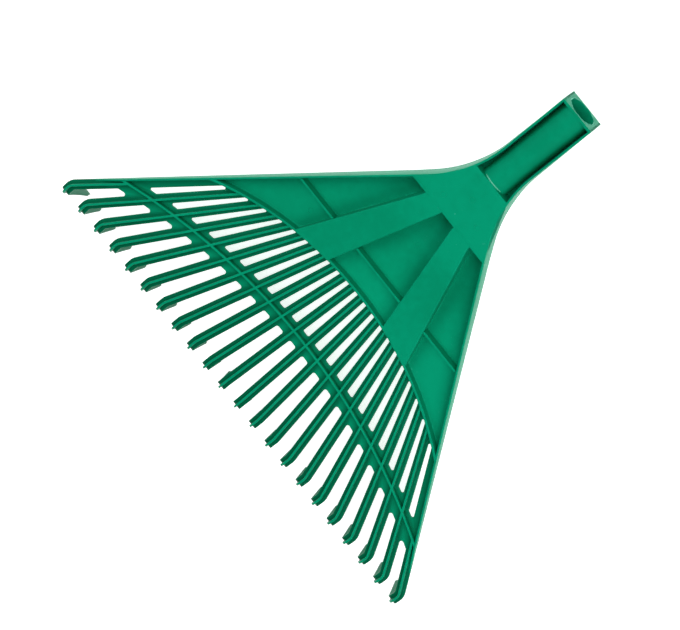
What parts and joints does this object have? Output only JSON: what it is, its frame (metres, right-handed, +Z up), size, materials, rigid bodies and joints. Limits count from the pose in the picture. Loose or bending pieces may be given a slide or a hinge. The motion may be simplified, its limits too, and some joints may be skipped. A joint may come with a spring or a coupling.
{
  "type": "leaf rake head",
  "caption": "Fan-shaped moulded plastic leaf rake head with hooked springy tines, a webbed triangular deck and a round handle socket.",
  "frame": {"origin": "middle of the head's footprint, on the floor that its hook ends and its neck's lower edge rest on", "axes": "+X across the fan of tines, +Y towards the handle, out of the socket's mouth, which tips 3.5 degrees up, +Z up out of the ribbed face"},
  "size_m": [0.426, 0.371, 0.0403],
  "materials": {
    "deck_plastic": "semi-matte moulded polypropylene, emerald green",
    "tine_plastic": "semi-matte moulded polypropylene, emerald green"
  },
  "bodies": {
    "frame": {"cross_rib_centre": "deck_plastic", "cross_rib_left": "deck_plastic", "cross_rib_right": "deck_plastic", "deck_arc_rib": "deck_plastic", "hub_plate": "deck_plastic", "panel_centre": "deck_plastic", "panel_left": "deck_plastic", "panel_right": "deck_plastic", "rim_left": "deck_plastic", "rim_right": "deck_plastic", "socket_barrel": "deck_plastic", "socket_cheek_left": "deck_plastic", "socket_cheek_right": "deck_plastic", "socket_end_plate": "deck_plastic", "spoke_left": "deck_plastic", "spoke_right": "deck_plastic", "stem_02": "tine_plastic", "stem_03": "tine_plastic", "stem_04": "tine_plastic", "stem_05": "tine_plastic", "stem_06": "tine_plastic", "stem_07": "tine_plastic", "stem_08": "tine_plastic", "stem_09": "tine_plastic", "stem_10": "tine_plastic", "stem_11": "tine_plastic", "stem_12": "tine_plastic", "stem_13": "tine_plastic", "stem_14": "tine_plastic", "stem_15": "tine_plastic", "stem_16": "tine_plastic", "stem_17": "tine_plastic", "stem_18": "tine_plastic", "stem_19": "tine_plastic", "stem_20": "tine_plastic", "stem_21": "tine_plastic", "tie_band": "deck_plastic"},
    "tine_01": {"tine_01": "tine_plastic"},
    "tine_02": {"tine_02": "tine_plastic"},
    "tine_03": {"tine_03": "tine_plastic"},
    "tine_04": {"tine_04": "tine_plastic"},
    "tine_05": {"tine_05": "tine_plastic"},
    "tine_06": {"tine_06": "tine_plastic"},
    "tine_07": {"tine_07": "tine_plastic"},
    "tine_08": {"tine_08": "tine_plastic"},
    "tine_09": {"tine_09": "tine_plastic"},
    "tine_10": {"tine_10": "tine_plastic"},
    "tine_11": {"tine_11": "tine_plastic"},
    "tine_12": {"tine_12": "tine_plastic"},
    "tine_13": {"tine_13": "tine_plastic"},
    "tine_14": {"tine_14": "tine_plastic"},
    "tine_15": {"tine_15": "tine_plastic"},
    "tine_16": {"tine_16": "tine_plastic"},
    "tine_17": {"tine_17": "tine_plastic"},
    "tine_18": {"tine_18": "tine_plastic"},
    "tine_19": {"tine_19": "tine_plastic"},
    "tine_20": {"tine_20": "tine_plastic"},
    "tine_21": {"tine_21": "tine_plastic"},
    "tine_22": {"tine_22": "tine_plastic"}
  },
  "joints": [
    {"name": "tine_01_flex", "type": "hinge", "parent": "frame", "child": "tine_01", "pos_m": [-0.19106, -0.14679, 0.03429], "axis": [-0.8024, 0.5941, -0.0576], "range_deg": [-8, 12], "stiffness_Nm_per_rad": 1.5},
    {"name": "tine_02_flex", "type": "hinge", "parent": "frame", "child": "tine_02", "pos_m": [-0.16633, -0.13713, 0.03335], "axis": [-0.8296, 0.5557, -0.0538], "range_deg": [-8, 12], "stiffness_Nm_per_rad": 1.5},
    {"name": "tine_03_flex", "type": "hinge", "parent": "frame", "child": "tine_03", "pos_m": [-0.1444, -0.12982, 0.03264], "axis": [-0.8567, 0.5135, -0.0498], "range_deg": [-8, 12], "stiffness_Nm_per_rad": 1.5},
    {"name": "tine_04_flex", "type": "hinge", "parent": "frame", "child": "tine_04", "pos_m": [-0.12437, -0.12412, 0.03209], "axis": [-0.8831, 0.467, -0.0453], "range_deg": [-8, 12], "stiffness_Nm_per_rad": 1.5},
    {"name": "tine_05_flex", "type": "hinge", "parent": "frame", "child": "tine_05", "pos_m": [-0.10571, -0.11962, 0.03165], "axis": [-0.9083, 0.4163, -0.0403], "range_deg": [-8, 12], "stiffness_Nm_per_rad": 1.5},
    {"name": "tine_06_flex", "type": "hinge", "parent": "frame", "child": "tine_06", "pos_m": [-0.08806, -0.11607, 0.03131], "axis": [-0.9318, 0.3614, -0.035], "range_deg": [-8, 12], "stiffness_Nm_per_rad": 1.5},
    {"name": "tine_07_flex", "type": "hinge", "parent": "frame", "child": "tine_07", "pos_m": [-0.07116, -0.1133, 0.03104], "axis": [-0.9528, 0.3023, -0.0293], "range_deg": [-8, 12], "stiffness_Nm_per_rad": 1.5},
    {"name": "tine_08_flex", "type": "hinge", "parent": "frame", "child": "tine_08", "pos_m": [-0.05482, -0.11119, 0.03084], "axis": [-0.9706, 0.2395, -0.0232], "range_deg": [-8, 12], "stiffness_Nm_per_rad": 1.5},
    {"name": "tine_09_flex", "type": "hinge", "parent": "frame", "child": "tine_09", "pos_m": [-0.03888, -0.10966, 0.03069], "axis": [-0.9847, 0.1736, -0.0168], "range_deg": [-8, 12], "stiffness_Nm_per_rad": 1.5},
    {"name": "tine_10_flex", "type": "hinge", "parent": "frame", "child": "tine_10", "pos_m": [-0.02322, -0.10867, 0.03059], "axis": [-0.9944, 0.1052, -0.0102], "range_deg": [-8, 12], "stiffness_Nm_per_rad": 1.5},
    {"name": "tine_11_flex", "type": "hinge", "parent": "frame", "child": "tine_11", "pos_m": [-0.00772, -0.10818, 0.03054], "axis": [-0.9994, 0.0352, -0.0034], "range_deg": [-8, 12], "stiffness_Nm_per_rad": 1.5},
    {"name": "tine_12_flex", "type": "hinge", "parent": "frame", "child": "tine_12", "pos_m": [0.00772, -0.10818, 0.03054], "axis": [-0.9994, -0.0352, 0.0034], "range_deg": [-8, 12], "stiffness_Nm_per_rad": 1.5},
    {"name": "tine_13_flex", "type": "hinge", "parent": "frame", "child": "tine_13", "pos_m": [0.02322, -0.10867, 0.03059], "axis": [-0.9944, -0.1052, 0.0102], "range_deg": [-8, 12], "stiffness_Nm_per_rad": 1.5},
    {"name": "tine_14_flex", "type": "hinge", "parent": "frame", "child": "tine_14", "pos_m": [0.03888, -0.10966, 0.03069], "axis": [-0.9847, -0.1736, 0.0168], "range_deg": [-8, 12], "stiffness_Nm_per_rad": 1.5},
    {"name": "tine_15_flex", "type": "hinge", "parent": "frame", "child": "tine_15", "pos_m": [0.05482, -0.11119, 0.03084], "axis": [-0.9706, -0.2395, 0.0232], "range_deg": [-8, 12], "stiffness_Nm_per_rad": 1.5},
    {"name": "tine_16_flex", "type": "hinge", "parent": "frame", "child": "tine_16", "pos_m": [0.07116, -0.1133, 0.03104], "axis": [-0.9528, -0.3023, 0.0293], "range_deg": [-8, 12], "stiffness_Nm_per_rad": 1.5},
    {"name": "tine_17_flex", "type": "hinge", "parent": "frame", "child": "tine_17", "pos_m": [0.08806, -0.11607, 0.03131], "axis": [-0.9318, -0.3614, 0.035], "range_deg": [-8, 12], "stiffness_Nm_per_rad": 1.5},
    {"name": "tine_18_flex", "type": "hinge", "parent": "frame", "child": "tine_18", "pos_m": [0.10571, -0.11962, 0.03165], "axis": [-0.9083, -0.4163, 0.0403], "range_deg": [-8, 12], "stiffness_Nm_per_rad": 1.5},
    {"name": "tine_19_flex", "type": "hinge", "parent": "frame", "child": "tine_19", "pos_m": [0.12437, -0.12412, 0.03209], "axis": [-0.8831, -0.467, 0.0453], "range_deg": [-8, 12], "stiffness_Nm_per_rad": 1.5},
    {"name": "tine_20_flex", "type": "hinge", "parent": "frame", "child": "tine_20", "pos_m": [0.1444, -0.12982, 0.03264], "axis": [-0.8567, -0.5135, 0.0498], "range_deg": [-8, 12], "stiffness_Nm_per_rad": 1.5},
    {"name": "tine_21_flex", "type": "hinge", "parent": "frame", "child": "tine_21", "pos_m": [0.16633, -0.13713, 0.03335], "axis": [-0.8296, -0.5557, 0.0538], "range_deg": [-8, 12], "stiffness_Nm_per_rad": 1.5},
    {"name": "tine_22_flex", "type": "hinge", "parent": "frame", "child": "tine_22", "pos_m": [0.19106, -0.14679, 0.03429], "axis": [-0.8024, -0.5941, 0.0576], "range_deg": [-8, 12], "stiffness_Nm_per_rad": 1.5}
  ]
}
